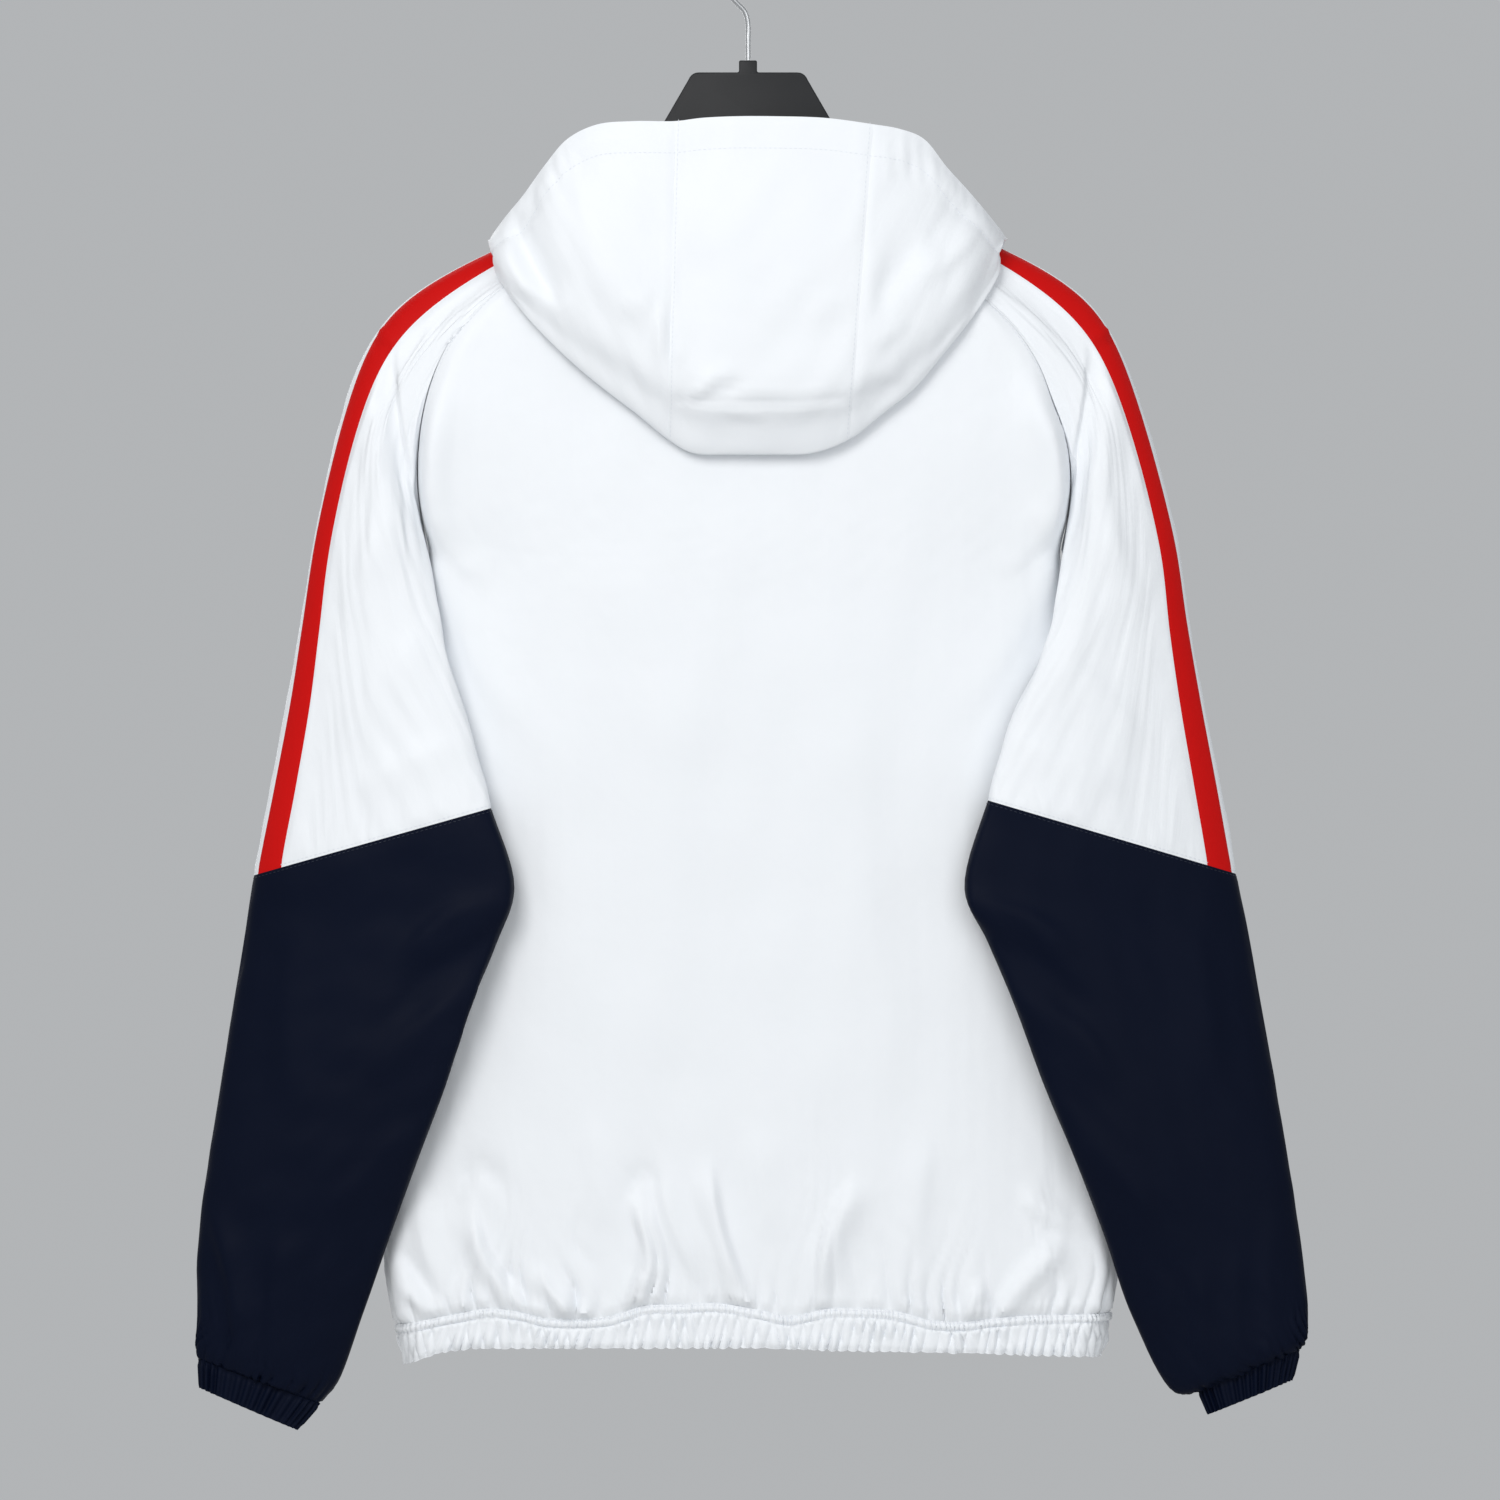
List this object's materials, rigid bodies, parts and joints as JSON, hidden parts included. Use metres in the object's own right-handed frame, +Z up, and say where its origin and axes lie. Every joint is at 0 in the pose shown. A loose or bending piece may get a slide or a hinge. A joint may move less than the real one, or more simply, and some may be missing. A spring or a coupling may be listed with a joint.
{
  "type": "hooded windbreaker jacket on a hanger",
  "caption": "Hooded windbreaker jacket with raglan sleeves, a red stripe, gathered hem and cuffs and a front zip, hung on a moulded hanger.",
  "frame": {"origin": "inside top of the hanger's hook, where a rail or wall hook holds it", "axes": "+Z up, +Y towards the jacket's back, +X towards the wearer's left sleeve"},
  "size_m": [0.7248, 0.1235, 0.9729],
  "materials": {
    "white_cloth": "smooth fine plain weave with a soft sheen",
    "red_cloth": "smooth fine plain weave",
    "navy_cloth": "smooth fine plain weave with a soft sheen",
    "zip_tape": "zip tape with moulded teeth",
    "zip_metal": "plated",
    "hanger_plastic": "satin moulded",
    "hook_wire": "polished"
  },
  "bodies": {
    "jacket": {"back_panel": "white_cloth", "cuff_left": "navy_cloth", "cuff_right": "navy_cloth", "front_left": "white_cloth", "front_right": "white_cloth", "hanger": "hanger_plastic", "hanger_hook": "hook_wire", "hem_back": "white_cloth", "hem_front_left": "white_cloth", "hem_front_right": "white_cloth", "hood_centre": "white_cloth", "hood_side_left": "white_cloth", "hood_side_right": "white_cloth", "sleeve_lower_back_left": "navy_cloth", "sleeve_lower_back_right": "navy_cloth", "sleeve_lower_front_left": "navy_cloth", "sleeve_lower_front_right": "navy_cloth", "sleeve_upper_back_left": "white_cloth", "sleeve_upper_back_right": "white_cloth", "sleeve_upper_front_left": "white_cloth", "sleeve_upper_front_right": "white_cloth", "stripe_left": "red_cloth", "stripe_right": "red_cloth", "zip_left": "zip_tape", "zip_right": "zip_tape", "zip_slider": "zip_metal"},
    "pull_tab": {"zip_pull": "zip_metal"}
  },
  "joints": [
    {"name": "pull_tab_hinge", "type": "hinge", "parent": "jacket", "child": "pull_tab", "pos_m": [0, -0.0466, -0.26025], "axis": [1, 0, 0], "range_deg": [-150, 0]}
  ]
}
